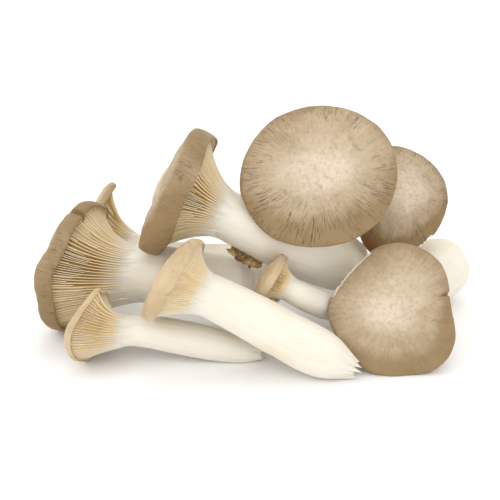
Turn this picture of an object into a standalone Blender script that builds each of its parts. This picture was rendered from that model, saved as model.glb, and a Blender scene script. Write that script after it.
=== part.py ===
"""A cluster of king oyster mushrooms, lying heaped on a table as they were picked.

Run it with: blender --background --python part.py

Each mushroom grew as one piece, so each is one closed solid: a loft of rings that runs from the cut
base, up the curved stem, out over the flared underside, round the rolled rim and in over the cap.
The stem follows a Bezier curve from its base to its neck, where it runs straight into the cap.
Where a mushroom lies on the table its flesh is pressed flat, so it is cut off level there.
Metres, +Z up. The table top is the plane z = 0.
"""

import math

import bmesh
import bpy
from mathutils import Vector

SIDES = 24  # corners of every ring
STEM_RINGS = 9  # rings from the base to the neck
FLARE_RINGS = 5  # rings on the flared underside, above the neck
FLARE_POWER = 2.0  # how suddenly the stem widens into the cap
LIP_INSET = 0.93  # where the underside meets the rolled lip, as a share of the cap's radius
TOP_STATIONS = (0.93, 0.78, 0.58, 0.36, 0.15)  # rings over the cap, as shares of its radius
CAP_ROUNDNESS = 2.6  # higher keeps the cap flat further out before it curves down to the rim
TABLE = 0.0
CLUSTER_SHIFT = Vector((-0.0054, -0.0265, 0.0))  # puts the middle of the heap's outline over the origin

FLESH = ("mushroom_flesh", (0.80, 0.72, 0.58, 1.0), 0.55)


# Each mushroom: base and cap are points, leans the way the stem sets off from its base, grows the way it
# enters the cap, and faces the way the cap's top looks. girth gives the stem's radius at shares of its length, from base to neck.
# rim is the cap's half width and half height. lobes and waves are (count, size, turn) round the rim:
# lobes swell the outline as a share of its radius, waves lift the rim along the cap's axis in metres.
MUSHROOMS = {
    "upper_left_mushroom": dict(
        base=(0.0520, 0.0190, 0.0260),
        leans=(-1.0, -0.02, 0.15),
        cap=(-0.0340, 0.0000, 0.0712),
        grows=(-0.905, 0.09, 0.416),
        faces=(-0.895, 0.20, 0.40),
        girth=((0.0, 0.0100), (0.12, 0.0135), (0.5, 0.0130), (1.0, 0.0110)),
        rim=(0.0285, 0.0310),
        flare=0.028,
        dome=0.0065,
        dip=0.001,
        lip=0.0080,
        lobes=((2, 0.02, 0.6),),
        waves=((2, -0.0015, 0.0),),
    ),
    "large_left_mushroom": dict(
        base=(0.0000, 0.0030, 0.0220),
        leans=(-1.0, 0.0, 0.05),
        cap=(-0.0822, 0.0085, 0.0310),
        grows=(-0.98, 0.08, 0.08),
        faces=(-0.90, 0.39, 0.17),
        girth=((0.0, 0.0095), (0.12, 0.0135), (0.5, 0.0138), (1.0, 0.0135)),
        rim=(0.0290, 0.0316),
        flare=0.034,
        dome=0.0075,
        dip=0.002,
        lip=0.0060,
        lobes=((3, 0.02, 0.6),),
        waves=((2, 0.0008, 0.5),),
    ),
    "low_left_mushroom": dict(
        base=(0.0060, -0.0255, 0.0035),
        leans=(-1.0, 0.05, 0.12),
        cap=(-0.0708, -0.0260, 0.0173),
        grows=(-0.985, -0.05, 0.12),
        faces=(-0.85, 0.48, 0.16),
        girth=((0.0, 0.0025), (0.15, 0.0055), (0.5, 0.0076), (1.0, 0.0070)),
        rim=(0.0160, 0.0170),
        flare=0.019,
        dome=0.0040,
        dip=0.001,
        lip=0.0018,
        lobes=((3, 0.03, 0.2),),
        waves=((2, 0.0010, 0.0),),
    ),
    "front_centre_mushroom": dict(
        base=(0.0452, -0.0402, 0.0042),
        leans=(-1.0, 0.03, 0.42),
        cap=(-0.0335, -0.0305, 0.0430),
        grows=(-0.90, 0.10, 0.42),
        faces=(-0.80, 0.33, 0.50),
        girth=((0.0, 0.0035), (0.18, 0.0098), (0.5, 0.0106), (1.0, 0.0095)),
        rim=(0.0185, 0.0224),
        flare=0.018,
        dome=0.0050,
        dip=0.000,
        lip=0.0040,
        lobes=((2, 0.02, 0.2),),
        waves=((2, -0.0010, 0.0),),
    ),
    "small_middle_mushroom": dict(
        base=(0.0410, -0.0085, 0.0170),
        leans=(-1.0, 0.05, 0.25),
        cap=(0.0081, -0.0176, 0.0374),
        grows=(-0.84, 0.20, 0.45),
        faces=(-0.815, 0.28, 0.50),
        girth=((0.0, 0.0045), (0.2, 0.0062), (0.5, 0.0062), (1.0, 0.0056)),
        rim=(0.0102, 0.0127),
        flare=0.012,
        dome=0.0030,
        dip=0.000,
        lip=0.0032,
        lobes=((2, 0.03, 0.2),),
        waves=((2, -0.0006, 0.0),),
    ),
    "front_right_mushroom": dict(
        base=(0.0950, 0.0450, 0.0165),
        leans=(-0.3, -1.0, 0.05),
        cap=(0.0625, -0.0235, 0.0243),
        grows=(0.0, -0.90, 0.40),
        faces=(-0.06, -0.82, 0.57),
        girth=((0.0, 0.0110), (0.12, 0.0150), (0.5, 0.0125), (1.0, 0.0110)),
        rim=(0.0282, 0.0288),
        flare=0.018,
        dome=0.0050,
        dip=0.002,
        lip=0.0035,
        lobes=((1, 0.045, -0.6), (2, 0.034, 3.14), (3, 0.061, -2.58), (4, 0.016, -2.16), (5, 0.025, 3.14)),
        waves=((3, 0.0010, 0.0),),
    ),
    "top_round_mushroom": dict(
        base=(0.0400, 0.0900, 0.0092),
        leans=(-0.05, -1.0, 0.30),
        cap=(0.0298, -0.0050, 0.0799),
        grows=(0.0, -0.86, 0.51),
        faces=(0.0, -0.86, 0.51),
        girth=((0.0, 0.0095), (0.12, 0.0140), (0.5, 0.0130), (1.0, 0.0120)),
        rim=(0.0345, 0.0315),
        flare=0.022,
        dome=0.0065,
        dip=0.0015,
        lip=0.0050,
        lobes=((2, 0.03, 1.57), (3, 0.008, -1.5), (4, 0.010, 2.2)),
        waves=((2, 0.0010, 0.0),),
    ),
    "rear_right_mushroom": dict(
        base=(0.0760, 0.1000, 0.0083),
        leans=(0.0, -1.0, 0.25),
        cap=(0.0705, 0.0250, 0.0585),
        grows=(0.10, -0.85, 0.50),
        faces=(0.22, -0.80, 0.55),
        girth=((0.0, 0.0085), (0.12, 0.0115), (0.5, 0.0110), (1.0, 0.0105)),
        rim=(0.0232, 0.0240),
        flare=0.018,
        dome=0.0055,
        dip=0.000,
        lip=0.0040,
        lobes=((1, 0.03, 3.14), (2, 0.03, 3.14), (3, 0.027, 0.25)),
        waves=((2, 0.0008, 0.0),),
    ),
    "back_left_mushroom": dict(
        base=(0.0080, 0.0440, 0.0117),
        leans=(-1.0, 0.0, 0.10),
        cap=(-0.0790, 0.0535, 0.0255),
        grows=(-0.93, 0.05, 0.34),
        faces=(-0.97, 0.10, 0.22),
        girth=((0.0, 0.0085), (0.12, 0.0115), (0.5, 0.0110), (1.0, 0.0095)),
        rim=(0.0150, 0.0255),
        flare=0.024,
        dome=0.0040,
        dip=0.001,
        lip=0.0030,
        lobes=((3, 0.03, 0.9),),
        waves=((2, 0.0012, 0.0),),
    ),
    "back_middle_mushroom": dict(
        base=(0.0180, 0.0740, 0.0053),
        leans=(-0.75, 0.0, 0.60),
        cap=(-0.0415, 0.0600, 0.0490),
        grows=(-0.90, 0.0, 0.42),
        faces=(-0.90, 0.05, 0.42),
        girth=((0.0, 0.0070), (0.12, 0.0095), (0.5, 0.0092), (1.0, 0.0085)),
        rim=(0.0145, 0.0145),
        flare=0.015,
        dome=0.0045,
        dip=0.000,
        lip=0.0035,
        lobes=((2, 0.02, 0.2),),
        waves=((2, 0.0008, 0.0),),
    ),
}


def clear_scene():
    for obj in list(bpy.data.objects):
        bpy.data.objects.remove(obj, do_unlink=True)


def flesh_material():
    name, colour, roughness = FLESH
    material = bpy.data.materials.new(name)
    material.use_nodes = True
    shader = material.node_tree.nodes["Principled BSDF"]
    shader.inputs["Base Color"].default_value = colour
    shader.inputs["Roughness"].default_value = roughness
    shader.inputs["Metallic"].default_value = 0.0
    return material


def through_keys(keys, share):
    """A smooth value at share through (share, value) keys, by cubic Hermite with finite-difference slopes."""
    places = [key[0] for key in keys]
    values = [key[1] for key in keys]
    last = len(keys) - 1

    def slope(i):
        before, after = max(i - 1, 0), min(i + 1, last)
        return (values[after] - values[before]) / (places[after] - places[before])

    i = min(max(sum(place <= share for place in places) - 1, 0), last - 1)
    span = places[i + 1] - places[i]
    t = min(max((share - places[i]) / span, 0.0), 1.0)
    return (
        values[i] * (2 * t**3 - 3 * t**2 + 1)
        + slope(i) * span * (t**3 - 2 * t**2 + t)
        + values[i + 1] * (3 * t**2 - 2 * t**3)
        + slope(i + 1) * span * (t**3 - t**2)
    )


def across(forward):
    """The sideways and upward directions that go with forward, for laying out a ring."""
    side = Vector((0, 0, 1)).cross(forward).normalized()
    return side, forward.cross(side)


def stem_curve(spec):
    """The four Bezier points of the stem's centre line, from the base to the neck."""
    base = Vector(spec["base"])
    grows = Vector(spec["grows"]).normalized()
    neck = Vector(spec["cap"]) - grows * spec["flare"]
    reach = (neck - base).length / 3
    return base, base + Vector(spec["leans"]).normalized() * reach, neck - grows * reach, neck


def along_stem(curve, share):
    """The point and the unit direction at share of the stem's centre line."""
    a, b, c, d = curve
    rest = 1 - share
    point = a * rest**3 + b * 3 * rest**2 * share + c * 3 * rest * share**2 + d * share**3
    forward = (b - a) * rest**2 + (c - b) * 2 * rest * share + (d - c) * share**2
    return point, forward.normalized()


def rim_radius(spec, angle):
    wide, high = spec["rim"]
    ellipse = wide * high / math.hypot(high * math.cos(angle), wide * math.sin(angle))
    return ellipse * (1 + sum(size * math.cos(count * angle - turn) for count, size, turn in spec["lobes"]))


def rim_lift(spec, angle):
    return sum(size * math.cos(count * angle - turn) for count, size, turn in spec["waves"])


def cap_height(spec, share):
    """Height of the cap's top above the rim plane at share of its radius."""
    domed = spec["dome"] * (1 - share**CAP_ROUNDNESS)
    return domed - spec["dip"] * math.exp(-((share / 0.45) ** 2))


def cap_axis(spec, height):
    """The way a ring at this height about the rim plane looks: it turns from the stem's way to the cap's."""
    turned = min(max(1 + height / spec["flare"], 0.0), 1.0)
    return Vector(spec["grows"]).normalized().lerp(Vector(spec["faces"]).normalized(), turned).normalized()


def cap_stations(spec):
    """(share of the way from stem to rim, height along the cap's axis) of each ring above the neck."""
    flare, lip = spec["flare"], spec["lip"]
    stations = []
    for i in range(1, FLARE_RINGS + 1):
        up = i / FLARE_RINGS
        stations.append((LIP_INSET * up**FLARE_POWER, -flare + (flare - 0.6 * lip) * up))
    stations += [(0.985, -0.72 * lip), (1.0, -0.25 * lip)]
    stations += [(share, cap_height(spec, share)) for share in TOP_STATIONS]
    return stations


def ring_points(spec):
    """Rings of points from the base to the top of the cap, and the point at the cap's middle."""
    curve = stem_curve(spec)
    angles = [2 * math.pi * i / SIDES for i in range(SIDES)]
    rings = []
    for i in range(STEM_RINGS):
        share = (i / (STEM_RINGS - 1)) ** 1.25  # closer together near the base, which is more shaped
        centre, forward = along_stem(curve, share)
        side, up = across(forward)
        radius = through_keys(spec["girth"], share)
        rings.append([centre + (side * math.cos(a) + up * math.sin(a)) * radius for a in angles])
    cap = Vector(spec["cap"])
    neck = through_keys(spec["girth"], 1.0)
    for share, height in cap_stations(spec):
        axis = cap_axis(spec, height)
        side, up = across(axis)
        ring = []
        for a in angles:
            radius = neck + (rim_radius(spec, a) - neck) * share if height < 0 else rim_radius(spec, a) * share
            lift = height + rim_lift(spec, a) * share**2
            ring.append(cap + (side * math.cos(a) + up * math.sin(a)) * radius + axis * lift)
        rings.append(ring)
    return rings, cap + axis * cap_height(spec, 0.0)


def lofted(rings, crown):
    """One closed skin through the rings: a flat end at the first, bridged walls, and a fan to the crown."""
    mesh = bmesh.new()
    loops = []
    for ring in rings:
        made = bmesh.ops.create_circle(mesh, cap_ends=False, radius=1.0, segments=SIDES)["verts"]
        for vert, point in zip(made, ring):
            vert.co = point
        loops.append(made)

    def edges_of(verts):
        chosen = set(verts)
        return [edge for edge in mesh.edges if edge.verts[0] in chosen and edge.verts[1] in chosen]

    rims = [edges_of(loop) for loop in loops]
    for lower, upper in zip(rims, rims[1:]):
        bmesh.ops.bridge_loops(mesh, edges=lower + upper)
    for loop in (loops[0], loops[-1]):
        bmesh.ops.contextual_create(mesh, geom=edges_of(loop))
    top = max(mesh.faces, key=lambda face: len(face.verts) * (face.verts[0] in loops[-1]))
    fan = bmesh.ops.poke(mesh, faces=[top])["verts"]
    fan[0].co = crown
    bmesh.ops.recalc_face_normals(mesh, faces=mesh.faces)
    return mesh


def press_flat(mesh):
    """Cuts off what would reach below the table, which leaves a flat contact patch."""
    if min(vert.co.z for vert in mesh.verts) >= TABLE:
        return
    geometry = mesh.verts[:] + mesh.edges[:] + mesh.faces[:]
    cut = bmesh.ops.bisect_plane(
        mesh, geom=geometry, dist=1e-6, plane_co=(0, 0, TABLE), plane_no=(0, 0, -1), clear_outer=True
    )
    edges = [item for item in cut["geom_cut"] if isinstance(item, bmesh.types.BMEdge)]
    bmesh.ops.contextual_create(mesh, geom=edges)
    bmesh.ops.recalc_face_normals(mesh, faces=mesh.faces)


def make_mushroom(name, spec, collection, material):
    rings, crown = ring_points(spec)
    solid = lofted(rings, crown)
    press_flat(solid)
    bmesh.ops.translate(solid, verts=solid.verts, vec=CLUSTER_SHIFT)
    mesh = bpy.data.meshes.new(name)
    solid.to_mesh(mesh)
    solid.free()
    mesh.materials.append(material)
    mesh.shade_smooth()
    mesh.set_sharp_from_angle(angle=math.radians(50))
    obj = bpy.data.objects.new(name, mesh)
    collection.objects.link(obj)
    return obj


def main():
    clear_scene()
    collection = bpy.data.collections.new("king_oyster_mushroom_cluster")
    bpy.context.scene.collection.children.link(collection)
    material = flesh_material()
    for name, spec in MUSHROOMS.items():
        make_mushroom(name, spec, collection, material)


main()
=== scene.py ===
import math

import bpy
import numpy as np
from mathutils import Euler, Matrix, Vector, noise


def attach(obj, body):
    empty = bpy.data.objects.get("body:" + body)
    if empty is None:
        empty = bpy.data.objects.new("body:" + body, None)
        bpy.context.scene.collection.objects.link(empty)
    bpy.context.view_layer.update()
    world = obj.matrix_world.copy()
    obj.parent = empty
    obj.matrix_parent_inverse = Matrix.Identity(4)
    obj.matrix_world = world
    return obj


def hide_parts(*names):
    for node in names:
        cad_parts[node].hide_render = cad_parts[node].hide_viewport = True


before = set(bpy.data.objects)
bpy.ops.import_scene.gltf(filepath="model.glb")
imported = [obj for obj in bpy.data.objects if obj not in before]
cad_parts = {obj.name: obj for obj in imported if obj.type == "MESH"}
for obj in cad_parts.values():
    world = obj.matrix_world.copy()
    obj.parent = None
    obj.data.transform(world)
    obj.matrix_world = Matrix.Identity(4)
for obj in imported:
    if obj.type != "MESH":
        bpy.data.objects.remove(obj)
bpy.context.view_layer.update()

bl_info = {
    "name": "King Oyster Mushroom Heap",
    "version": (1, 0, 0),
    "blender": (4, 5, 0),
    "location": "View3D > Sidebar > Mushrooms",
    "description": "Grows a heap of king oyster mushrooms with real gills, rolled rims and fibrous stems",
    "category": "Add Mesh",
}

# Where the heap's rings lie: the same shapes and places that the solids were made from.
FLARE_POWER = 2.0
CAP_ROUNDNESS = (2.1, 0.80)  # how far the cap's top stays full, and how steeply its shoulder falls to the rim
LIP_START = 0.90  # where the gills stop and the rolled rim begins, as a share of the cap's radius
CLUSTER_SHIFT = Vector((-0.0054, -0.0265, 0.0))

# The rolled rim's section from the gills to the cap's edge: (share of the radius, drop in rim depths)
ROLL = ((0.900, 0.60), (0.908, 0.86), (0.930, 1.00), (0.962, 0.93), (0.988, 0.70), (1.000, 0.38), (0.996, 0.12), (0.978, -0.08))
TOP_START = 0.965

# Rings of a turned blank, zone by zone
END, STEM, FLARE, RIM, TOP = range(5)
RINGS = {END: 7, STEM: 46, FLARE: 40, RIM: 18, TOP: 40}

# Each mushroom: base and cap are points, leans the way the stem sets off from its base, grows the way it
# enters the cap, and faces the way the cap's top looks. girth gives the stem's radius at shares of its
# length. rim is the cap's half width and half height. lobes and waves are (count, size, turn) round the rim.
# tone is 0 for a pale yellowish cap and 1 for a brown one. gills is (long blades, depth, how much painted shade darkens
# the gaps between them).
# splits are (angle, width, depth) nicks in the rim. bulges are (angle, width, out, lift) of the rim.
# torn is how ragged the base is, in metres, and frayed is (angle, width, size) of a frayed stretch of rim.
MUSHROOMS = {
    "upper_left_mushroom": dict(
        base=(0.0520, 0.0190, 0.0260), leans=(-1.0, -0.02, 0.15),
        cap=(-0.0340, 0.0000, 0.0712), grows=(-0.905, 0.09, 0.416), faces=(-0.895, 0.20, 0.40),
        girth=((0.0, 0.0100), (0.12, 0.0135), (0.5, 0.0130), (1.0, 0.0110)),
        rim=(0.0285, 0.0310), flare=0.028, dome=0.0065, dip=0.001, lip=0.0080,
        lobes=((2, 0.02, 0.6),), waves=((2, -0.0015, 0.0), (5, 0.0007, 1.3)),
        tone=1.0, gills=(80, 0.0021, 1.0), splits=(), bulges=(), torn=0.0, frayed=(),
        # painted shade: this cap's lower side darkens sooner towards its rim colour
        brown=(-1.2, 0.25),
        skin=(0.45, 1.0),
    ),
    "large_left_mushroom": dict(
        base=(0.0000, 0.0030, 0.0220), leans=(-1.0, 0.0, 0.05),
        cap=(-0.0822, 0.0085, 0.0310), grows=(-0.98, 0.08, 0.08), faces=(-0.90, 0.39, 0.17),
        girth=((0.0, 0.0095), (0.12, 0.0135), (0.5, 0.0138), (1.0, 0.0135)),
        rim=(0.0290, 0.0316), flare=0.034, dome=0.0075, dip=0.002, lip=0.0060,
        lobes=((3, 0.02, 0.6), (5, 0.006, 2.0), (8, 0.004, 0.5)), waves=((2, 0.0008, 0.5), (5, 0.0009, 1.0), (8, 0.0005, 2.0)),
        tone=1.0, gills=(84, 0.0024, 1.0), splits=((1.42, 0.030, 0.16),), bulges=(), torn=0.0, frayed=(),
        # painted shade: this cap's lower side darkens sooner towards its rim colour
        brown=(-1.2, 0.25),
        skin=(0.40, 0.8),
    ),
    "low_left_mushroom": dict(
        base=(0.0060, -0.0255, 0.0035), leans=(-1.0, 0.05, 0.12),
        cap=(-0.0708, -0.0260, 0.0173), grows=(-0.985, -0.05, 0.12), faces=(-0.85, 0.48, 0.16),
        girth=((0.0, 0.0025), (0.15, 0.0055), (0.5, 0.0076), (1.0, 0.0070)),
        rim=(0.0160, 0.0170), flare=0.019, dome=0.0040, dip=0.001, lip=0.0018,
        lobes=((3, 0.03, 0.2), (7, 0.010, 1.2)), waves=((2, 0.0010, 0.0),),
        tone=0.20, gills=(50, 0.0013, 0.7), splits=(), bulges=((1.50, 0.17, 0.0052, -0.0022),),
        torn=0.0035, frayed=(),
        skin=(0.1, 0.2),
    ),
    "front_centre_mushroom": dict(
        base=(0.0452, -0.0402, 0.0042), leans=(-1.0, 0.03, 0.42),
        cap=(-0.0335, -0.0305, 0.0430), grows=(-0.90, 0.10, 0.42), faces=(-0.80, 0.33, 0.50),
        girth=((0.0, 0.0035), (0.18, 0.0098), (0.5, 0.0106), (1.0, 0.0095)),
        rim=(0.0185, 0.0224), flare=0.018, dome=0.0050, dip=0.000, lip=0.0040,
        lobes=((2, 0.02, 0.2), (5, 0.012, 1.0), (9, 0.007, 2.0)), waves=((2, -0.0010, 0.0), (5, 0.0005, 0.4), (9, 0.0003, 1.2)),
        tone=0.15, gills=(64, 0.0009, 0.45), splits=(), bulges=(), torn=0.0060, frayed=(),
        skin=(0.1, 0.5),
    ),
    "small_middle_mushroom": dict(
        base=(0.0410, -0.0085, 0.0170), leans=(-1.0, 0.05, 0.25),
        cap=(0.0081, -0.0176, 0.0374), grows=(-0.84, 0.20, 0.45), faces=(-0.815, 0.28, 0.50),
        girth=((0.0, 0.0045), (0.2, 0.0062), (0.5, 0.0062), (1.0, 0.0056)),
        rim=(0.0102, 0.0127), flare=0.012, dome=0.0030, dip=0.000, lip=0.0032,
        lobes=((2, 0.03, 0.2), (5, 0.010, 2.2)), waves=((2, -0.0006, 0.0),),
        tone=0.15, gills=(40, 0.0010, 0.9), splits=(), bulges=(), torn=0.0, frayed=(),
        skin=(0.1, 0.2),
    ),
    "front_right_mushroom": dict(
        base=(0.0950, 0.0450, 0.0165), leans=(-0.3, -1.0, 0.05),
        cap=(0.0625, -0.0235, 0.0243), grows=(0.0, -0.90, 0.40), faces=(-0.06, -0.82, 0.57),
        girth=((0.0, 0.0110), (0.12, 0.0150), (0.5, 0.0125), (1.0, 0.0110)),
        rim=(0.0282, 0.0288), flare=0.018, dome=0.0050, dip=0.002, lip=0.0035,
        lobes=((1, 0.045, -0.6), (2, 0.034, 3.14), (3, 0.061, -2.58), (4, 0.016, -2.16), (5, 0.025, 3.14)), waves=((3, 0.0010, 0.0),),
        tone=0.90, gills=(60, 0.0018, 0.8), splits=((0.30, 0.030, 0.05),), bulges=(),
        torn=0.0, frayed=(2.45, 0.50, 0.0011),
        # painted shade: this cap's lower side darkens sooner towards its rim colour
        round=(2.1, 0.80), brown=(-1.0, 0.35),
        skin=(0.30, 0.25),
    ),
    "top_round_mushroom": dict(
        base=(0.0400, 0.0900, 0.0092), leans=(-0.05, -1.0, 0.30),
        cap=(0.0298, -0.0050, 0.0799), grows=(0.0, -0.86, 0.51), faces=(0.0, -0.86, 0.51),
        girth=((0.0, 0.0095), (0.12, 0.0140), (0.5, 0.0130), (1.0, 0.0120)),
        rim=(0.0345, 0.0315), flare=0.022, dome=0.0065, dip=0.0015, lip=0.0040,
        lobes=((2, 0.03, 1.57), (3, 0.008, -1.5), (4, 0.010, 2.2)), waves=((2, 0.0010, 0.0),),
        tone=0.90, gills=(72, 0.0022, 0.8), splits=(), bulges=((-2.64, 0.30, -0.0008, 0.0004),), torn=0.0, frayed=(),
        # painted shade: this cap's lower side darkens sooner towards its rim colour
        round=(2.1, 0.85), brown=(-1.45, 0.45),
        skin=(1.0, 0.45),
    ),
    "rear_right_mushroom": dict(
        base=(0.0760, 0.1000, 0.0083), leans=(0.0, -1.0, 0.25),
        cap=(0.0705, 0.0250, 0.0585), grows=(0.10, -0.85, 0.50), faces=(0.22, -0.80, 0.55),
        girth=((0.0, 0.0085), (0.12, 0.0115), (0.5, 0.0110), (1.0, 0.0105)),
        rim=(0.0232, 0.0240), flare=0.018, dome=0.0055, dip=0.000, lip=0.0040,
        lobes=((1, 0.03, 3.14), (2, 0.03, 3.14), (3, 0.027, 0.25)), waves=((2, 0.0008, 0.0),),
        # The split at the lower left has no depth: it only darkens the rim there, partly the skin's own brown, partly
        # painted shade under the top round cap.
        tone=1.00, gills=(52, 0.0018, 0.9), splits=((-2.25, 0.40, 0.0),), bulges=((-2.15, 0.60, 0.0060, 0.0),), torn=0.0, frayed=(-1.45, 0.42, 0.0016),
        # painted shade: this cap's lower side darkens sooner towards its rim colour
        round=(2.1, 0.80), brown=(-1.6, 0.45),
        skin=(0.9, 0.4),
    ),
    "back_left_mushroom": dict(
        base=(0.0080, 0.0440, 0.0117), leans=(-1.0, 0.0, 0.10),
        cap=(-0.0790, 0.0535, 0.0255), grows=(-0.93, 0.05, 0.34), faces=(-0.97, 0.10, 0.22),
        girth=((0.0, 0.0085), (0.12, 0.0115), (0.5, 0.0110), (1.0, 0.0095)),
        rim=(0.0150, 0.0255), flare=0.024, dome=0.0040, dip=0.001, lip=0.0030,
        lobes=((3, 0.03, 0.9),), waves=((2, 0.0012, 0.0),),
        tone=0.30, gills=(44, 0.0016, 0.8), splits=(), bulges=((1.45, 0.13, 0.0090, -0.0045),),
        torn=0.0030, frayed=(),
        skin=(0.2, 0.3),
    ),
    "back_middle_mushroom": dict(
        base=(0.0180, 0.0740, 0.0053), leans=(-0.75, 0.0, 0.60),
        cap=(-0.0415, 0.0600, 0.0490), grows=(-0.90, 0.0, 0.42), faces=(-0.90, 0.05, 0.42),
        girth=((0.0, 0.0070), (0.12, 0.0095), (0.5, 0.0092), (1.0, 0.0085)),
        rim=(0.0145, 0.0145), flare=0.015, dome=0.0045, dip=0.000, lip=0.0035,
        lobes=((2, 0.02, 0.2),), waves=((2, 0.0008, 0.0),),
        tone=0.15, gills=(40, 0.0014, 0.7), splits=(), bulges=(), torn=0.0, frayed=(),
        skin=(0.1, 0.2),
    ),
}

# Scraps of torn gill that cling to two of the mushrooms: (middle, half sizes, turn)
SCRAPS = {
    "upper_left_mushroom": (
        ((0.0005, -0.0035, 0.0392), (0.0056, 0.0030, 0.0016), (0.9, 0.45, 0.2)),
        ((-0.0055, -0.0030, 0.0418), (0.0044, 0.0026, 0.0014), (0.8, 0.55, 0.0)),
    ),
    "small_middle_mushroom": (
        ((0.0105, -0.0205, 0.0282), (0.0042, 0.0018, 0.0013), (1.2, 0.05, 0.3)),
        ((0.0080, -0.0205, 0.0292), (0.0028, 0.0015, 0.0012), (1.0, 0.2, 0.9)),
    ),
}

FUNNELS = ("upper_left_mushroom", "large_left_mushroom", "low_left_mushroom", "front_centre_mushroom", "small_middle_mushroom")
ROUND_CAPS = ("front_right_mushroom", "top_round_mushroom", "rear_right_mushroom")
BACK_ROW = ("back_left_mushroom", "back_middle_mushroom")


# ---------------------------------------------------------------- sizes and colours a user may change

class MushroomShape(bpy.types.PropertyGroup):
    sides: bpy.props.IntProperty(name="Sides", description="Corners round each ring of a mushroom", default=192, min=24)
    blade_root: bpy.props.FloatProperty(
        name="Gill root", description="Thickness of a gill where it grows from the cap", default=0.00044, unit="LENGTH")
    blade_crest: bpy.props.FloatProperty(
        name="Gill crest", description="Thickness of a gill at its free edge", default=0.00024, unit="LENGTH")
    lump: bpy.props.FloatProperty(
        name="Lumps", description="How uneven the stems are, as a share of their radius", default=0.022, subtype="FACTOR")
    dent: bpy.props.FloatProperty(
        name="Dents", description="Depth of the shallow dents over the caps", default=0.0007, unit="LENGTH")


class MushroomColours(bpy.types.PropertyGroup):
    flesh: bpy.props.FloatVectorProperty(
        name="Flesh", description="Stem flesh", subtype="COLOR", size=4, default=(0.885, 0.84, 0.745, 1.0))
    straw: bpy.props.FloatVectorProperty(
        name="Straw", description="Yellow tinge near the gills and the bases", subtype="COLOR", size=4,
        default=(0.78, 0.60, 0.31, 1.0))
    blade: bpy.props.FloatVectorProperty(
        name="Gill", description="Free edges of the gills", subtype="COLOR", size=4, default=(0.86, 0.68, 0.37, 1.0))
    # Gill gap is painted shade: the warm dark deep in the recesses between the gills.
    gap: bpy.props.FloatVectorProperty(
        name="Gill gap", description="Deep between the gills", subtype="COLOR", size=4, default=(0.46, 0.27, 0.06, 1.0))
    cap_pale: bpy.props.FloatVectorProperty(
        name="Cap centre", description="Pale skin at a cap's centre", subtype="COLOR", size=4,
        default=(0.72, 0.61, 0.47, 1.0))
    cap_brown: bpy.props.FloatVectorProperty(
        name="Cap", description="Skin over most of a cap", subtype="COLOR", size=4, default=(0.50, 0.395, 0.265, 1.0))
    # Cap rim is also the colour that painted shade pushes a cap's lower side towards.
    cap_rim: bpy.props.FloatVectorProperty(
        name="Cap rim", description="Darker skin at the rim", subtype="COLOR", size=4, default=(0.28, 0.185, 0.085, 1.0))
    cap_young: bpy.props.FloatVectorProperty(
        name="Young cap", description="Skin of the pale, yellowish caps", subtype="COLOR", size=4,
        default=(0.68, 0.53, 0.335, 1.0))
    fibril: bpy.props.FloatVectorProperty(
        name="Fibrils", description="Dark threads and flecks in the cap skin", subtype="COLOR", size=4,
        default=(0.075, 0.042, 0.018, 1.0))
    # Stain browns torn flesh and splits; on the rear right cap it is also painted shade.
    stain_and_shade: bpy.props.FloatVectorProperty(
        name="Stain", description="Browned torn flesh", subtype="COLOR", size=4, default=(0.20, 0.09, 0.03, 1.0))


class StageSettings(bpy.types.PropertyGroup):
    floor: bpy.props.FloatVectorProperty(
        name="Floor", description="Colour of the table", subtype="COLOR", size=4, default=(0.97, 0.97, 0.98, 1.0))
    elevation: bpy.props.FloatProperty(
        name="Camera elevation", description="How far the camera looks down", default=math.radians(24.0), subtype="ANGLE")
    distance: bpy.props.FloatProperty(
        name="Camera distance", description="From the camera to the middle of the heap", default=0.5625, unit="LENGTH")
    aim_height: bpy.props.FloatProperty(
        name="Aim height", description="Height of the point the camera looks at", default=0.0424, unit="LENGTH")
    lens: bpy.props.FloatProperty(name="Lens", description="Focal length in millimetres", default=90.0)


# ---------------------------------------------------------------- the growing surface

def unit(values):
    return Vector(values).normalized()


def smooth(low, high, value):
    t = np.clip((value - low) / (high - low), 0.0, 1.0)
    return t * t * (3 - 2 * t)


def wrapped(angle):
    """An angle or angles brought between -pi and pi."""
    return (np.asarray(angle) + math.pi) % (2 * math.pi) - math.pi


def through_keys(keys, share):
    """A smooth value at share through (share, value) keys, by cubic Hermite with finite-difference slopes."""
    places = [key[0] for key in keys]
    values = [key[1] for key in keys]
    last = len(keys) - 1

    def slope(i):
        before, after = max(i - 1, 0), min(i + 1, last)
        return (values[after] - values[before]) / (places[after] - places[before])

    i = min(max(sum(place <= share for place in places) - 1, 0), last - 1)
    span = places[i + 1] - places[i]
    t = min(max((share - places[i]) / span, 0.0), 1.0)
    return (
        values[i] * (2 * t**3 - 3 * t**2 + 1)
        + slope(i) * span * (t**3 - 2 * t**2 + t)
        + values[i + 1] * (3 * t**2 - 2 * t**3)
        + slope(i + 1) * span * (t**3 - t**2)
    )


def across(forward):
    """The sideways and upward directions that go with forward, for laying out a ring."""
    side = Vector((0, 0, 1)).cross(forward).normalized()
    return side, forward.cross(side)


def stem_curve(spec):
    base, grows = Vector(spec["base"]), unit(spec["grows"])
    neck = Vector(spec["cap"]) - grows * spec["flare"]
    reach = (neck - base).length / 3
    return base, base + unit(spec["leans"]) * reach, neck - grows * reach, neck


def along_stem(curve, share):
    a, b, c, d = curve
    rest = 1 - share
    point = a * rest**3 + b * 3 * rest**2 * share + c * 3 * rest * share**2 + d * share**3
    forward = (b - a) * rest**2 + (c - b) * 2 * rest * share + (d - c) * share**2
    return point, forward.normalized()


def cap_axis(spec, height):
    turned = min(max(1 + height / spec["flare"], 0.0), 1.0)
    return unit(spec["grows"]).lerp(unit(spec["faces"]), turned).normalized()


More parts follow.
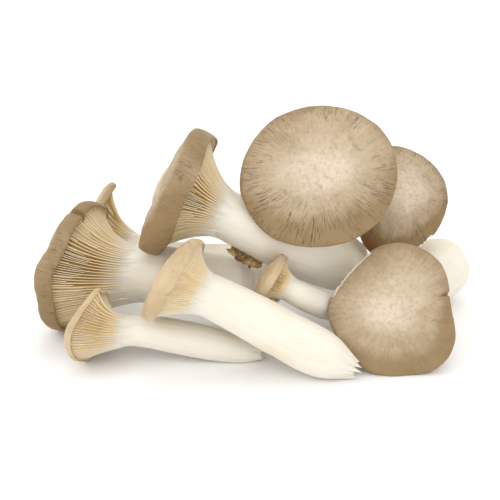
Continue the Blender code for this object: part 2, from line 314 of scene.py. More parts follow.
def sum_waves(terms, angle):
    total = np.zeros_like(angle)
    for count, size, turn in terms:
        total = total + size * np.cos(count * angle - turn)
    return total


def rim_radius(spec, angle):
    wide, high = spec["rim"]
    ellipse = wide * high / np.hypot(high * np.cos(angle), wide * np.sin(angle))
    seed = sum(spec["cap"]) * 1000
    uneven = sum(0.006 / math.sqrt(k) * np.sin(k * angle + seed * k) for k in (4, 7, 11, 17, 26))
    radius = ellipse * (1 + sum_waves(spec["lobes"], angle) + uneven)
    for middle, width, out, _ in spec["bulges"]:
        radius = radius + out * np.exp(-((wrapped(angle - middle) / width) ** 2))
    return radius


def rim_lift(spec, angle):
    lift = sum_waves(spec["waves"], angle)
    for middle, width, _, up in spec["bulges"]:
        lift = lift + up * np.exp(-((wrapped(angle - middle) / width) ** 2))
    return lift


def cap_height(spec, share):
    full, steep = spec.get("round", CAP_ROUNDNESS)
    domed = spec["dome"] * (1 - share**full) ** steep
    return domed - spec["dip"] * np.exp(-((share / 0.45) ** 2))


def gill_depth(spec, up):
    """How deep the gills are at up, the way from the neck, 0, to the rolled rim, 1."""
    return 0.85 * spec["gills"][1] * smooth(0.02, 0.50, up) * (1 - smooth(0.965, 1.0, up))


def gill_shade(spec, up):
    """How much painted shade darkens the recesses between the gills: most near the rim, fading to clean flesh at the
    neck.
    """
    return spec["gills"][2] * smooth(0.18, 0.66, up) * (1 - 0.5 * smooth(0.97, 1.0, up))


def underside(spec, up, angle):
    """Radius and lift of the flared underside at up, and its outward direction as (radius, lift)."""
    neck = spec["girth"][-1][1]
    rim = rim_radius(spec, angle)
    share = LIP_START * up**FLARE_POWER
    drop = spec["flare"] - ROLL[0][1] * spec["lip"]
    radius = neck + (rim - neck) * share
    lift = -spec["flare"] + drop * up + rim_lift(spec, angle) * share**2
    run = (rim - neck) * LIP_START * FLARE_POWER * up ** (FLARE_POWER - 1)
    size = np.hypot(run, drop)
    return radius, lift, drop / size, -run / size


def spot(spec, height, radius, lift, angle):
    """World points at these radii, lifts and angles about the cap's axis."""
    axis = cap_axis(spec, height)
    side, up = across(axis)
    around = np.outer(radius * np.cos(angle), side) + np.outer(radius * np.sin(angle), up)
    return np.array(spec["cap"]) + around + np.outer(lift, axis)


# ---------------------------------------------------------------- one mushroom's rings

def stations(spec):
    """(zone, place in the zone, radius, height) of each ring of the straight blank, from the base to the crown."""
    base, neck = spec["girth"][0][1], spec["girth"][-1][1]
    wide = sum(spec["rim"]) / 2
    curve = stem_curve(spec)
    length = (curve[3] - curve[0]).length
    rings = []
    for i in range(RINGS[END]):
        rings.append((END, i / RINGS[END], base * i / RINGS[END], 0.0))
    for i in range(RINGS[STEM]):
        share = (i / (RINGS[STEM] - 1)) ** 1.35
        rings.append((STEM, share, through_keys(spec["girth"], share), length * share))
    for i in range(1, RINGS[FLARE] + 1):
        up = (i / RINGS[FLARE]) ** 0.9
        share = LIP_START * up**FLARE_POWER
        rings.append((FLARE, up, neck + (wide - neck) * share, length + (spec["flare"] - 0.55 * spec["lip"]) * up))
    rim_plane = length + spec["flare"]
    for i in range(1, RINGS[RIM] + 1):
        place = i / RINGS[RIM]
        share, drop = rolled(place)
        rings.append((RIM, place, wide * share, rim_plane - drop * spec["lip"]))
    for i in range(1, RINGS[TOP] + 1):
        share = TOP_START * math.sin(math.pi / 2 * (1 - (i - 1) / (RINGS[TOP] - 1)))
        rings.append((TOP, share, wide * share, rim_plane + cap_height(spec, share) + 1e-5))
    return rings


def rolled(place):
    """(share, drop) of the rolled rim's section at place, from 0 at the gills to 1 where the cap's skin begins."""
    keys = [i / (len(ROLL) - 1) for i in range(len(ROLL))]
    share = through_keys(tuple(zip(keys, [r[0] for r in ROLL])), place)
    drop = through_keys(tuple(zip(keys, [r[1] for r in ROLL])), place)
    return share, drop


def teeth(seed, angle, count, width):
    """A ragged outline from 0 to 1 round an angle: overlapping pointed teeth of uneven height."""
    rng = np.random.default_rng(seed)
    height = np.zeros_like(angle)
    for middle in np.linspace(0, 2 * math.pi, count, endpoint=False):
        middle += rng.uniform(-0.5, 0.5) * 2 * math.pi / count
        reach, size = width * rng.uniform(0.5, 1.5), rng.uniform(0.25, 1.0)
        height = np.maximum(height, size * (1 - np.abs(wrapped(angle - middle)) / reach))
    return height


def relief(points, scale, seed):
    """Fractal noise at each point, from about -1 to 1."""
    offset = Vector((seed * 3.1, seed * 7.7, seed * 1.3))
    return np.array([noise.fractal(Vector(p) * scale + offset, 1.0, 2.0, 3) for p in points])


def ring_points(spec, shape, zone, place, angle, seed):
    """World points of one ring, and its skin, gap, torn, stain and reach values."""
    curve = stem_curve(spec)
    none = np.zeros_like(angle)
    marks = dict(skin=none, gap=none, torn=none, stain_and_shade=none, reach=none)
    if zone in (END, STEM):
        share = 0.0 if zone == END else place
        centre, forward = along_stem(curve, share)
        side, up = across(forward)
        girth = through_keys(spec["girth"], share)
        flat = np.outer(np.cos(angle), side) + np.outer(np.sin(angle), up)
        lump = relief(np.array(centre) + flat * girth, 90.0, seed)
        radius = girth * (1 + shape.lump * lump + 0.012 * np.sin(5 * angle + seed) * (1 - share))
        push = none
        if zone == END:
            round_end = math.sqrt(max(1 - place**2, 0.0))
            radius = radius * place
            push = push - 0.25 * girth * round_end
        if spec["torn"]:
            ragged = teeth(seed, angle, 17, 0.34)
            near = max(1 - share / 0.16, 0.0) ** 1.5 if zone == STEM else place
            push = push - spec["torn"] * (ragged - 0.45) * near
            if zone == END:
                hollow = relief(np.array(centre) + flat * radius[:, None], 420.0, seed)
                push = push + spec["torn"] * (0.55 * round_end + 0.35 * hollow)
            marks["torn"] = none + (1.0 if zone == END else max(1 - share / 0.10, 0.0))
        points = np.array(centre) + flat * radius[:, None] + np.outer(push, forward)
        return points, marks
    neck = spec["girth"][-1][1]
    if zone == FLARE:
        radius, lift, out, down = underside(spec, place, angle)
        depth = gill_depth(spec, place)
        radius, lift = radius - out * depth, lift - down * depth
        height = -spec["flare"] + (spec["flare"] - ROLL[0][1] * spec["lip"]) * place
        # The recessed floor between the blades is darkened with painted shade.
        marks["gap"] = none + gill_shade(spec, place)
    elif zone == RIM:
        share, drop = rolled(place)
        height = -drop * spec["lip"]
        radius = neck * (1 - share) * (1 - place) + rim_radius(spec, angle) * share
        lift = height + rim_lift(spec, angle) * share**2
        marks["skin"] = none + smooth(0.02, 0.30, place)
        marks["reach"] = none + 1.0
    else:
        height = cap_height(spec, place)
        radius = rim_radius(spec, angle) * place
        lift = height + rim_lift(spec, angle) * place**2
        marks["skin"] = none + 1.0
        marks["reach"] = none + place
    reach = 1.0 if zone == RIM else place if zone == TOP else LIP_START * place**FLARE_POWER
    # Each split darkens its rim with the stain colour: real browning, and on the rear right cap also painted shade.
    for middle, width, deep in spec["splits"]:
        nick = np.exp(-((wrapped(angle - middle) / width) ** 2)) * smooth(0.72, 0.95, reach)
        radius = radius * (1 - deep * nick)
        marks["stain_and_shade"] = np.maximum(marks["stain_and_shade"], nick)
    if spec["frayed"]:
        middle, width, size = spec["frayed"]
        where = (np.abs(wrapped(angle - middle)) < width) * smooth(0.93, 0.99, reach)
        radius = radius - size * where * teeth(seed + 5, angle, 90, 0.045)
        marks["torn"] = np.maximum(marks["torn"], where * 0.9)
    points = spot(spec, height, radius, lift, angle)
    if zone in (RIM, TOP):
        bump = relief(points, 75.0, seed) + 0.35 * relief(points, 260.0, seed + 1)
        axis = np.array(cap_axis(spec, height))
        fade = smooth(0.0, 0.6, place) if zone == RIM else 1.0
        points = points + np.outer(bump * shape.dent * fade, axis)
    return points, marks


# ---------------------------------------------------------------- modelling operations

def deselect():
    if bpy.context.mode != "OBJECT":
        bpy.ops.object.mode_set(mode="OBJECT")
    bpy.ops.object.select_all(action="DESELECT")


def chosen(obj):
    deselect()
    obj.select_set(True)
    bpy.context.view_layer.objects.active = obj


def turned_blank(name, spec, sides):
    """A straight mushroom: its half section is drawn upwards point by point, then spun about its axis."""
    rings = stations(spec)
    deselect()
    bpy.ops.mesh.primitive_plane_add(size=0.001, location=(0, 0, 0))
    blank = bpy.context.object
    blank.name = name
    bpy.ops.object.mode_set(mode="EDIT")
    bpy.ops.mesh.select_all(action="SELECT")
    bpy.ops.mesh.merge(type="CENTER")
    last = (rings[0][2], rings[0][3])
    for _, _, radius, height in rings[1:]:
        step = (radius - last[0], 0.0, height - last[1])
        bpy.ops.mesh.extrude_vertices_move(TRANSFORM_OT_translate={"value": step})
        last = (radius, height)
    bpy.ops.mesh.select_all(action="SELECT")
    bpy.ops.mesh.spin(steps=sides, angle=2 * math.pi, center=(0, 0, 0), axis=(0, 0, 1))
    bpy.ops.mesh.select_all(action="SELECT")
    bpy.ops.mesh.remove_doubles(threshold=1e-6)
    bpy.ops.mesh.normals_make_consistent(inside=False)
    bpy.ops.object.mode_set(mode="OBJECT")
    return blank, rings


def coordinates(mesh):
    values = np.empty(len(mesh.vertices) * 3)
    mesh.vertices.foreach_get("co", values)
    return values.reshape(-1, 3)


def write_marks(mesh, marks, turn):
    for mark, values in marks.items():
        attribute = mesh.attributes.new(mark, "FLOAT", "POINT")
        attribute.data.foreach_set("value", values.astype(np.float32))
    attribute = mesh.attributes.new("turn", "FLOAT_VECTOR", "POINT")
    attribute.data.foreach_set("vector", turn.astype(np.float32).ravel())


def grow_body(name, spec, shape, seed):
    """Bends and swells a turned blank, ring by ring, into the mushroom where it lies."""
    sides = shape.sides if max(spec["rim"]) > 0.020 else int(shape.sides * 0.75)
    blank, rings = turned_blank(name, spec, sides)
    blank_points = coordinates(blank.data)
    profile = np.array([(radius, height) for _, _, radius, height in rings])
    flat = np.column_stack([np.hypot(blank_points[:, 0], blank_points[:, 1]), blank_points[:, 2]])
    nearest = np.empty(len(flat), int)
    for start in range(0, len(flat), 4096):
        gap = flat[start:start + 4096, None, :] - profile[None]
        nearest[start:start + 4096] = (gap**2).sum(2).argmin(1)
    angle = np.arctan2(blank_points[:, 1], blank_points[:, 0])
    points = np.zeros_like(blank_points)
    marks = {mark: np.zeros(len(points)) for mark in ("skin", "gap", "torn", "stain_and_shade", "reach")}
    for i, (zone, place, _, _) in enumerate(rings):
        at = np.flatnonzero(nearest == i)
        if not len(at):
            continue
        ring, values = ring_points(spec, shape, zone, place, angle[at], seed)
        points[at] = ring
        for mark, value in values.items():
            marks[mark][at] = value
    points[:, 2] = np.maximum(points[:, 2], 0.0)
    along = profile_lengths(rings)[nearest]
    turn = np.column_stack([np.cos(angle), np.sin(angle), along])
    blank.data.vertices.foreach_set("co", (points + np.array(CLUSTER_SHIFT)).ravel())
    # Painted shade: reach grows on each cap's lower side, so the skin there darkens sooner towards the rim colour.
    marks["reach"] = reach_with_lower_shade(spec, marks["reach"], angle)
    marks["tone"] = np.full(len(points), spec["tone"])
    marks["thread"], marks["blotch"] = (np.full(len(points), amount) for amount in spec["skin"])
    write_marks(blank.data, marks, turn)
    return blank


def reach_with_lower_shade(spec, reach, angle):
    """The share of the way to the rim's colour, with painted shade: it comes sooner on the cap's lower side, where less
    light falls.
    """
    middle, extra = spec.get("brown", (-math.pi / 2, 0.0))
    return reach * (1 + extra * smooth(-0.2, 1.0, np.cos(angle - middle)))


def profile_lengths(rings):
    """How far along the half section each ring lies, in metres."""
    lengths = [0.0]
    for before, after in zip(rings, rings[1:]):
        lengths.append(lengths[-1] + math.hypot(after[2] - before[2], after[3] - before[3]))
    return np.array(lengths)


BLADE_CUTS = 15


def gill_comb(name, count, crest):
    """A row of upright blades, one apart: a bar is cut along its length, thinned at its crest and arrayed."""
    deselect()
    bpy.ops.mesh.primitive_cube_add(size=1.0, location=(0.5, 0.0, 0.5))
    comb = bpy.context.object
    comb.name = name
    bpy.ops.object.transform_apply(location=True, rotation=False, scale=False)
    bpy.ops.object.mode_set(mode="EDIT")
    bpy.ops.mesh.select_mode(type="EDGE")
    bpy.ops.mesh.select_all(action="DESELECT")
    bpy.ops.object.mode_set(mode="OBJECT")
    mesh = comb.data
    for edge in mesh.edges:
        a, b = (mesh.vertices[i].co for i in edge.vertices)
        edge.select = abs(a.x - b.x) > 0.5
    bpy.ops.object.mode_set(mode="EDIT")
    bpy.ops.mesh.subdivide(number_cuts=BLADE_CUTS)
    bpy.ops.mesh.select_mode(type="VERT")
    bpy.ops.mesh.select_all(action="DESELECT")
    bpy.ops.object.mode_set(mode="OBJECT")
    for vertex in mesh.vertices:
        vertex.select = vertex.co.z > 0.5
    bpy.ops.object.mode_set(mode="EDIT")
    bpy.ops.transform.resize(value=(1.0, crest, 1.0), center_override=(0.5, 0.0, 1.0))
    bpy.ops.object.mode_set(mode="OBJECT")
    array = comb.modifiers.new("row", "ARRAY")
    array.count = count
    array.use_relative_offset = False
    array.use_constant_offset = True
    array.constant_offset_displace = (0.0, 2.0, 0.0)
    bpy.ops.object.modifier_apply(modifier=array.name)
    return comb


def grow_gills(name, spec, shape, seed):
    """Bends a comb of blades round the flared underside: long ones that run down the stem, short ones between."""
    count = spec["gills"][0] * 2
    comb = gill_comb(name + "_gills", count, shape.blade_crest / shape.blade_root)
    flat = coordinates(comb.data)
    blade = np.rint(flat[:, 1] / 2.0).astype(int)
    across_blade = flat[:, 1] - 2.0 * blade
    along, crest = flat[:, 0], flat[:, 2]
    rng = np.random.default_rng(seed)
    pitch = 2 * math.pi / count
    middle = (np.arange(count) + rng.uniform(-0.28, 0.28, count)) * pitch
    is_long = np.arange(count) % 2 == 0
    start = np.where(is_long, rng.uniform(0.03, 0.20, count), rng.uniform(0.50, 0.85, count))
    sway = rng.uniform(-0.55, 0.55, count) * pitch
    phase = rng.uniform(0, 2 * math.pi, count)
    tall = np.where(is_long, rng.uniform(0.82, 1.06, count), rng.uniform(0.50, 0.90, count))
    up = start[blade] + (0.992 - start[blade]) * along
    angle = middle[blade] + sway[blade] * (up - 0.6) + 0.10 * pitch * np.sin(9 * up + phase[blade])
    radius, lift, out, down = underside(spec, up, angle)
    depth = gill_depth(spec, up)
    tip = smooth(0.0, 0.14, along)
    reach = depth * (1.15 - crest * (1.15 - (1 - tall[blade])) * tip) + 0.00025 * (1 - crest)
    radius, lift = radius - out * reach, lift - down * reach
    thick = shape.blade_root * min(spec["gills"][1] / 0.0022, 1.0) * (0.65 + 0.35 * tip)
    angle = angle + across_blade * thick / np.maximum(radius, 1e-4)
    points = np.zeros_like(flat)
    height = -spec["flare"] + (spec["flare"] - ROLL[0][1] * spec["lip"]) * up
    frames = {}
    for i in range(len(flat)):
        key = round(float(height[i]), 5)
        if key not in frames:
            axis = cap_axis(spec, key)
            frames[key] = (axis, *across(axis))
        axis, side, upward = frames[key]
        points[i] = (
            Vector(spec["cap"]) + side * (radius[i] * math.cos(angle[i]))
            + upward * (radius[i] * math.sin(angle[i])) + axis * lift[i]
        )
    comb.data.vertices.foreach_set("co", (points + np.array(CLUSTER_SHIFT)).ravel())
    zero = np.zeros(len(flat))
    # Painted shade: each blade darkens from its crest down to its root, deep in the recess.
    deep = (0.12 + 0.88 * np.clip(1 - crest, 0, 1)) * gill_shade(spec, up)
    marks = dict(skin=zero, gap=deep, torn=zero, stain_and_shade=zero, reach=zero, tone=zero + spec["tone"])
    write_marks(comb.data, marks, np.column_stack([np.cos(angle), np.sin(angle), up * 0.05]))
    return comb


def scrap(name, where, size, turn, seed):
    """A crumpled scrap of torn gill, stained brownish: a small ball squashed flat, folded and frayed."""
    deselect()
    bpy.ops.mesh.primitive_ico_sphere_add(subdivisions=4, radius=1.0, location=(0, 0, 0))
    flake = bpy.context.object
    flake.name = name
    flake.scale = size
    bpy.ops.object.transform_apply(location=False, rotation=False, scale=True)
    flat = coordinates(flake.data)
    folds = np.array([noise.fractal(Vector(p) * 420.0 + Vector((seed, 0, 0)), 0.8, 2.1, 4) for p in flat])
    ridge = np.array([noise.noise(Vector(p) * 900.0 + Vector((0, seed, 0))) for p in flat])
    flat = flat * (1 + 0.55 * folds[:, None]) + np.outer(ridge * size[2] * 1.1, (0, 0, 1))
    spun = np.array(Euler(turn).to_matrix())
    points = flat @ spun.T + np.array(where) + np.array(CLUSTER_SHIFT)
    flake.data.vertices.foreach_set("co", points.ravel())
    zero = np.zeros(len(points))
    # The scrap's own brown stain, from its folds and ridges.
    brown = np.clip(0.55 + 0.9 * folds + 0.3 * ridge, 0.15, 0.95)
    marks = dict(skin=zero, gap=zero + 0.5, torn=zero + 1.0, stain_and_shade=brown, reach=zero, tone=zero + 1.0)
    write_marks(flake.data, marks, np.column_stack([zero, zero, zero]))
    return flake


def grow_mushroom(name, seed, material):
    spec = MUSHROOMS[name]
    shape = bpy.context.scene.mushroom_shape
    body = grow_body(name + "_skin", spec, shape, seed)
    parts = [body, grow_gills(name, spec, shape, seed)]
    for i, (where, size, turn) in enumerate(SCRAPS.get(name, ())):
        parts.append(scrap("scrap", where, size, turn, seed + i))
    deselect()
    for part in parts:
        part.select_set(True)
    bpy.context.view_layer.objects.active = body
    bpy.ops.object.join()
    bpy.ops.object.shade_smooth_by_angle(angle=math.radians(50))
    body.data.materials.clear()
    body.data.materials.append(material)
    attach(body, "root")
    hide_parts(name)
    return body


# ---------------------------------------------------------------- materials

def group_tree(name, inputs, outputs):
    """A new shader node group with these (kind, name, value) inputs and (kind, name) outputs."""
    tree = bpy.data.node_groups.new(name, "ShaderNodeTree")
    for kind, label, value in inputs:
        socket = tree.interface.new_socket(name=label, in_out="INPUT", socket_type=kind)
        if value is not None:
            socket.default_value = value
    for kind, label in outputs:
        tree.interface.new_socket(name=label, in_out="OUTPUT", socket_type=kind)
    return tree, tree.nodes.new("NodeGroupInput"), tree.nodes.new("NodeGroupOutput")


def node(tree, kind, settings=None, **values):
    """Adds a node, sets its properties, and sets or links its inputs by name with spaces as underscores."""
    made = tree.nodes.new(kind)
    for key, value in (settings or {}).items():
        setattr(made, key, value)
    for key, value in values.items():
        label = key.replace("_", " ")
        socket = made.inputs[int(key[1:])] if key[0] == "i" and key[1:].isdigit() else made.inputs[label]
        if isinstance(value, bpy.types.NodeSocket):
            tree.links.new(value, socket)
        else:
            socket.default_value = value
    return made


def maths(tree, operation, first, second=0.5, third=None):
    made = tree.nodes.new("ShaderNodeMath")
    made.operation = operation
    for socket, value in zip(made.inputs, (first, second, third)):
        if isinstance(value, bpy.types.NodeSocket):
            tree.links.new(value, socket)
        elif value is not None:
            socket.default_value = value
    return made.outputs[0]


def mixed(tree, factor, first, second, blend="MIX"):
    made = tree.nodes.new("ShaderNodeMix")
    made.data_type = "RGBA"
    made.blend_type = blend
    for socket, value in ((made.inputs[0], factor), (made.inputs[6], first), (made.inputs[7], second)):
        if isinstance(value, bpy.types.NodeSocket):
            tree.links.new(value, socket)
        else:
            socket.default_value = value
    return made.outputs[2]


def ramped(tree, value, low, high, to_low=0.0, to_high=1.0):
    made = node(tree, "ShaderNodeMapRange", {"interpolation_type": "SMOOTHSTEP"}, Value=value)
    for label, number in (("From Min", low), ("From Max", high), ("To Min", to_low), ("To Max", to_high)):
        if isinstance(number, bpy.types.NodeSocket):
            tree.links.new(number, made.inputs[label])
        else:
            made.inputs[label].default_value = number
    return made.outputs[0]


def streaks_group():
    """Threads that run along the flesh: noise stretched along the grain, wrapped round the axis without a seam."""
    tree, given, result = group_tree(
        "lengthwise_streaks",
        [("NodeSocketVector", "Turn", None), ("NodeSocketFloat", "Around", 40.0), ("NodeSocketFloat", "Along", 60.0),
         ("NodeSocketFloat", "Low", 0.4), ("NodeSocketFloat", "High", 0.6)],
        [("NodeSocketFloat", "Mask")],
    )
    parts = node(tree, "ShaderNodeSeparateXYZ", Vector=given.outputs["Turn"])
    around = [maths(tree, "MULTIPLY", parts.outputs[i], given.outputs["Around"]) for i in (0, 1)]
    along = maths(tree, "MULTIPLY", parts.outputs[2], given.outputs["Along"])
    place = node(tree, "ShaderNodeCombineXYZ", X=around[0], Y=around[1], Z=along)
    cloud = node(tree, "ShaderNodeTexNoise", Vector=place.outputs[0], Scale=1.0, Detail=3.0, Roughness=0.6)
    mask = ramped(tree, cloud.outputs[0], given.outputs["Low"], given.outputs["High"])
    tree.links.new(mask, result.inputs["Mask"])
    return tree


def flesh_group(streaks):
    """Pale flesh of stems and gills: cream, with lengthwise fibres, straw tinges, painted shade in the gaps between
    gills, and torn ends.
    """
    tree, given, result = group_tree(
        "pale_flesh",
        [("NodeSocketVector", "Turn", None), ("NodeSocketFloat", "Gap", 0.0), ("NodeSocketFloat", "Torn", 0.0),
         ("NodeSocketColor", "Flesh", None), ("NodeSocketColor", "Straw", None), ("NodeSocketColor", "Blade", None),
         ("NodeSocketColor", "Gap Colour", None)],
        [("NodeSocketColor", "Colour"), ("NodeSocketFloat", "Height")],
    )
    spot_at = node(tree, "ShaderNodeTexCoord").outputs["Object"]
    fine = node(tree, "ShaderNodeGroup", {"node_tree": streaks}, Turn=given.outputs["Turn"], Around=26.0, Along=70.0,
                Low=0.35, High=0.68).outputs[0]
    broad = node(tree, "ShaderNodeGroup", {"node_tree": streaks}, Turn=given.outputs["Turn"], Around=5.0, Along=22.0,
                 Low=0.42, High=0.72).outputs[0]
    tinge = node(tree, "ShaderNodeTexNoise", Vector=spot_at, Scale=45.0, Detail=3.0)
    tinged = ramped(tree, tinge.outputs[0], 0.50, 0.78, 0.0, 0.42)
    colour = mixed(tree, tinged, given.outputs["Flesh"], given.outputs["Straw"])
    colour = mixed(tree, maths(tree, "MULTIPLY", broad, 0.12), colour, given.outputs["Straw"])
    colour = mixed(tree, maths(tree, "MULTIPLY", fine, 0.10), colour, given.outputs["Straw"])
    edge = ramped(tree, given.outputs["Gap"], 0.0, 0.30)
    colour = mixed(tree, edge, colour, given.outputs["Blade"])
    # Painted shade deep between the gills.
    deep = ramped(tree, given.outputs["Gap"], 0.35, 0.95)
    colour = mixed(tree, deep, colour, given.outputs["Gap Colour"])
    crumbs = node(tree, "ShaderNodeTexNoise", Vector=spot_at, Scale=900.0, Detail=2.0)
    crumb = maths(tree, "MULTIPLY", crumbs.outputs[0], given.outputs["Torn"])
    height = maths(tree, "ADD", maths(tree, "MULTIPLY", fine, 0.35), maths(tree, "MULTIPLY", broad, 0.4))
    height = maths(tree, "ADD", height, maths(tree, "MULTIPLY", crumb, 1.6))
    tree.links.new(colour, result.inputs["Colour"])
    tree.links.new(height, result.inputs["Height"])
    return tree


def cap_group(streaks):
    """Cap skin: pale in the middle and darker to the rim, with radial fibrils, flecks and a fine mottle."""
    tree, given, result = group_tree(
        "cap_skin",
        [("NodeSocketVector", "Turn", None), ("NodeSocketFloat", "Reach", 0.0), ("NodeSocketFloat", "Tone", 1.0),
         ("NodeSocketFloat", "Thread", 1.0), ("NodeSocketFloat", "Blotch", 1.0), ("NodeSocketColor", "Pale", None), ("NodeSocketColor", "Brown", None), ("NodeSocketColor", "Rim", None),
         ("NodeSocketColor", "Young", None), ("NodeSocketColor", "Fibril", None)],
        [("NodeSocketColor", "Colour"), ("NodeSocketFloat", "Height")],
    )
    spot_at = node(tree, "ShaderNodeTexCoord").outputs["Object"]
    drift = node(tree, "ShaderNodeTexNoise", Vector=spot_at, Scale=55.0, Detail=4.0, Roughness=0.6)
    wobble = maths(tree, "MULTIPLY_ADD", drift.outputs[0], 0.5, -0.25)
    reach = maths(tree, "ADD", given.outputs["Reach"], wobble)
    colour = mixed(tree, ramped(tree, reach, 0.15, 0.80), given.outputs["Pale"], given.outputs["Brown"])
    colour = mixed(tree, ramped(tree, reach, 0.78, 1.12), colour, given.outputs["Rim"])
    silk = node(tree, "ShaderNodeGroup", {"node_tree": streaks}, Turn=given.outputs["Turn"], Around=30.0, Along=90.0,
                Low=0.35, High=0.70).outputs[0]
    silk = maths(tree, "MULTIPLY", silk, ramped(tree, reach, 0.30, 0.90))
    colour = mixed(tree, maths(tree, "MULTIPLY", silk, 0.30), colour, given.outputs["Rim"])
    mottle = node(tree, "ShaderNodeTexNoise", Vector=spot_at, Scale=650.0, Detail=3.0)
    colour = mixed(tree, ramped(tree, mottle.outputs[0], 0.42, 0.72, 0.0, 0.30), colour, given.outputs["Rim"])
    threads = node(tree, "ShaderNodeGroup", {"node_tree": streaks}, Turn=given.outputs["Turn"], Around=70.0,
                   Along=200.0, Low=0.55, High=0.62).outputs[0]
    patch = node(tree, "ShaderNodeTexNoise", Vector=spot_at, Scale=95.0, Detail=2.0)
    here = maths(tree, "MULTIPLY", ramped(tree, patch.outputs[0], 0.40, 0.56), ramped(tree, reach, 0.42, 0.95))
    threads = maths(tree, "MULTIPLY", threads, here)
    threads = maths(tree, "MULTIPLY", threads, given.outputs["Thread"])
    colour = mixed(tree, maths(tree, "MULTIPLY", threads, 0.90), colour, given.outputs["Fibril"])
    fleck = node(tree, "ShaderNodeTexNoise", Vector=spot_at, Scale=420.0, Detail=1.0)
    spotty = maths(tree, "MULTIPLY", ramped(tree, fleck.outputs[0], 0.68, 0.74), ramped(tree, patch.outputs[0], 0.55, 0.7))
    colour = mixed(tree, maths(tree, "MULTIPLY", spotty, 0.6), colour, given.outputs["Fibril"])
    youth = maths(tree, "SUBTRACT", 1.0, given.outputs["Tone"])
    colour = mixed(tree, youth, colour, given.outputs["Young"])
    cloud = node(tree, "ShaderNodeTexNoise", Vector=spot_at, Scale=70.0, Detail=5.0, Roughness=0.65)
    colour = mixed(tree, ramped(tree, cloud.outputs[0], 0.42, 0.72, 0.0, 0.34), colour, given.outputs["Rim"])
    blotch = node(tree, "ShaderNodeTexNoise", Vector=spot_at, Scale=150.0, Detail=8.0, Roughness=0.75, Distortion=0.6)
    blotched = maths(tree, "MULTIPLY", ramped(tree, blotch.outputs[0], 0.60, 0.66), given.outputs["Blotch"])
    colour = mixed(tree, maths(tree, "MULTIPLY", blotched, 0.45), colour, given.outputs["Fibril"])
    height = maths(tree, "SUBTRACT", maths(tree, "MULTIPLY", mottle.outputs[0], 0.5), threads)
    height = maths(tree, "SUBTRACT", height, blotched)
    height = maths(tree, "ADD", height, maths(tree, "MULTIPLY", silk, 0.35))
    tree.links.new(colour, result.inputs["Colour"])
    tree.links.new(height, result.inputs["Height"])
    return tree


def mushroom_material():
    """Skin and flesh of every mushroom: the marks on its mesh say which is where."""
    material = bpy.data.materials.new("king_oyster")
    material.use_nodes = True
    tree = material.node_tree
    colours = bpy.context.scene.mushroom_colours
    shader = tree.nodes["Principled BSDF"]
    marks = {}
    for mark in ("skin", "gap", "torn", "stain_and_shade", "reach", "tone", "thread", "blotch", "turn"):
        reader = node(tree, "ShaderNodeAttribute", {"attribute_name": mark, "attribute_type": "GEOMETRY"})
        marks[mark] = reader.outputs["Vector" if mark == "turn" else "Fac"]
    streaks = streaks_group()
    flesh = node(tree, "ShaderNodeGroup", {"node_tree": flesh_group(streaks)}, Turn=marks["turn"], Gap=marks["gap"],
                 Torn=marks["torn"], Flesh=colours.flesh, Straw=colours.straw, Blade=colours.blade,
                 Gap_Colour=colours.gap)
    cap = node(tree, "ShaderNodeGroup", {"node_tree": cap_group(streaks)}, Turn=marks["turn"], Reach=marks["reach"],
               Tone=marks["tone"], Thread=marks["thread"], Blotch=marks["blotch"], Pale=colours.cap_pale, Brown=colours.cap_brown, Rim=colours.cap_rim,
               Young=colours.cap_young, Fibril=colours.fibril)
    bare = maths(tree, "SUBTRACT", marks["skin"], maths(tree, "MULTIPLY", marks["torn"], 0.9))
    skin = ramped(tree, bare, 0.25, 0.75)
    colour = mixed(tree, skin, flesh.outputs["Colour"], cap.outputs["Colour"])
    # Stains of torn flesh and splits, and on the rear right cap painted shade too.
    colour = mixed(tree, marks["stain_and_shade"], colour, colours.stain_and_shade)
    height = node(tree, "ShaderNodeMix", Factor=skin)
    tree.links.new(flesh.outputs["Height"], height.inputs[2])
    tree.links.new(cap.outputs["Height"], height.inputs[3])
    bump = node(tree, "ShaderNodeBump", Height=height.outputs[0], Strength=0.55, Distance=0.0005)
    roughness = ramped(tree, skin, 0.0, 1.0, 0.48, 0.66)
    tree.links.new(colour, shader.inputs["Base Color"])
    tree.links.new(roughness, shader.inputs["Roughness"])
    tree.links.new(bump.outputs[0], shader.inputs["Normal"])
    shader.inputs["Subsurface Weight"].default_value = 0.18
    shader.inputs["Subsurface Radius"].default_value = (1.0, 0.60, 0.35)
    shader.inputs["Subsurface Scale"].default_value = 0.003
    shader.inputs["Specular IOR Level"].default_value = 0.35
    return material


def floor_material(colour):
    material = bpy.data.materials.new("table_white")
    material.use_nodes = True
    shader = material.node_tree.nodes["Principled BSDF"]
    shader.inputs["Base Color"].default_value = colour
    shader.inputs["Roughness"].default_value = 0.85
    shader.inputs["Specular IOR Level"].default_value = 0.1
    return material


# ---------------------------------------------------------------- operators

def shared_material():
    return bpy.data.materials.get("king_oyster") or mushroom_material()


def grow_all(names):
    for name in names:
        grow_mushroom(name, 11 + 7 * list(MUSHROOMS).index(name), shared_material())


class MUSHROOM_OT_funnels(bpy.types.Operator):
    """Grow the gilled, funnel-shaped mushrooms that point left"""
    bl_idname = "mushroom.funnels"
    bl_label = "Grow Funnel Mushrooms"

    def execute(self, context):
        grow_all(FUNNELS)
        return {"FINISHED"}


class MUSHROOM_OT_round_caps(bpy.types.Operator):
    """Grow the mushrooms whose round caps face the viewer"""
    bl_idname = "mushroom.round_caps"
    bl_label = "Grow Round Caps"

    def execute(self, context):
        grow_all(ROUND_CAPS)
        return {"FINISHED"}


class MUSHROOM_OT_back_row(bpy.types.Operator):
    """Grow the mushrooms that lie at the back of the heap"""
    bl_idname = "mushroom.back_row"
    bl_label = "Grow Back Row"

    def execute(self, context):
        grow_all(BACK_ROW)
        return {"FINISHED"}


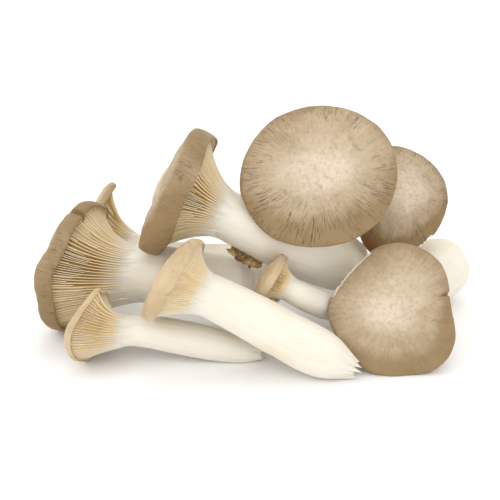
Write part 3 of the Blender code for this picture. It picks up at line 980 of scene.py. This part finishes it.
def area_light(name, place, aim, size, power, colour):
    data = bpy.data.lights.new(name, "AREA")
    data.shape = "DISK"
    data.size = size
    data.energy = power
    data.color = colour
    light = bpy.data.objects.new(name, data)
    light.location = place
    light.rotation_euler = (Vector(aim) - Vector(place)).to_track_quat("-Z", "Y").to_euler()
    bpy.context.scene.collection.objects.link(light)
    return light


class MUSHROOM_OT_stage(bpy.types.Operator):
    """Lay the white table, hang the soft lights and place the camera"""
    bl_idname = "mushroom.stage"
    bl_label = "Set the Stage"

    def execute(self, context):
        settings = context.scene.mushroom_stage
        deselect()
        bpy.ops.mesh.primitive_plane_add(size=12.0, location=(0, 0, 0))
        floor = context.object
        floor.name = "table"
        floor.data.materials.append(floor_material(settings.floor))
        world = bpy.data.worlds.new("studio")
        world.use_nodes = True
        background = world.node_tree.nodes["Background"]
        background.inputs["Color"].default_value = (1.0, 0.995, 0.985, 1.0)
        background.inputs["Strength"].default_value = 1.02
        context.scene.world = world
        middle = Vector((0, 0, settings.aim_height)) + CLUSTER_SHIFT
        area_light("softbox_front", (-0.15, -0.80, 0.75), middle, 0.90, 1.9, (1.0, 0.995, 0.98))
        area_light("softbox_left", (-0.75, -0.15, 0.70), middle, 0.60, 1.2, (1.0, 0.99, 0.97))
        area_light("softbox_top", (0.10, 0.35, 1.10), middle, 0.80, 2.1, (1.0, 1.0, 1.0))
        data = bpy.data.cameras.new("camera")
        data.lens = settings.lens
        data.sensor_width = 36.0
        camera = bpy.data.objects.new("camera", data)
        back = Vector((0, -math.cos(settings.elevation), math.sin(settings.elevation)))
        camera.location = middle + back * settings.distance
        camera.rotation_euler = (-back).to_track_quat("-Z", "Y").to_euler()
        context.scene.collection.objects.link(camera)
        context.scene.camera = camera
        context.scene.view_settings.view_transform = "Standard"
        return {"FINISHED"}


class MUSHROOM_PT_panel(bpy.types.Panel):
    bl_label = "Mushrooms"
    bl_idname = "MUSHROOM_PT_panel"
    bl_space_type = "VIEW_3D"
    bl_region_type = "UI"
    bl_category = "Mushrooms"

    def draw(self, context):
        for step in ("funnels", "round_caps", "back_row", "stage"):
            self.layout.operator("mushroom." + step)
        for group in ("mushroom_shape", "mushroom_colours", "mushroom_stage"):
            settings = getattr(context.scene, group)
            for name in settings.__annotations__:
                self.layout.prop(settings, name)


CLASSES = (
    MushroomShape, MushroomColours, StageSettings, MUSHROOM_OT_funnels, MUSHROOM_OT_round_caps,
    MUSHROOM_OT_back_row, MUSHROOM_OT_stage, MUSHROOM_PT_panel,
)


def register():
    for cls in CLASSES:
        bpy.utils.register_class(cls)
    bpy.types.Scene.mushroom_shape = bpy.props.PointerProperty(type=MushroomShape)
    bpy.types.Scene.mushroom_colours = bpy.props.PointerProperty(type=MushroomColours)
    bpy.types.Scene.mushroom_stage = bpy.props.PointerProperty(type=StageSettings)


def unregister():
    for name in ("mushroom_shape", "mushroom_colours", "mushroom_stage"):
        delattr(bpy.types.Scene, name)
    for cls in reversed(CLASSES):
        bpy.utils.unregister_class(cls)


def main():
    register()
    bpy.ops.mushroom.stage()
    bpy.ops.mushroom.funnels()
    bpy.ops.mushroom.round_caps()
    bpy.ops.mushroom.back_row()


if __name__ == "__main__":
    main()
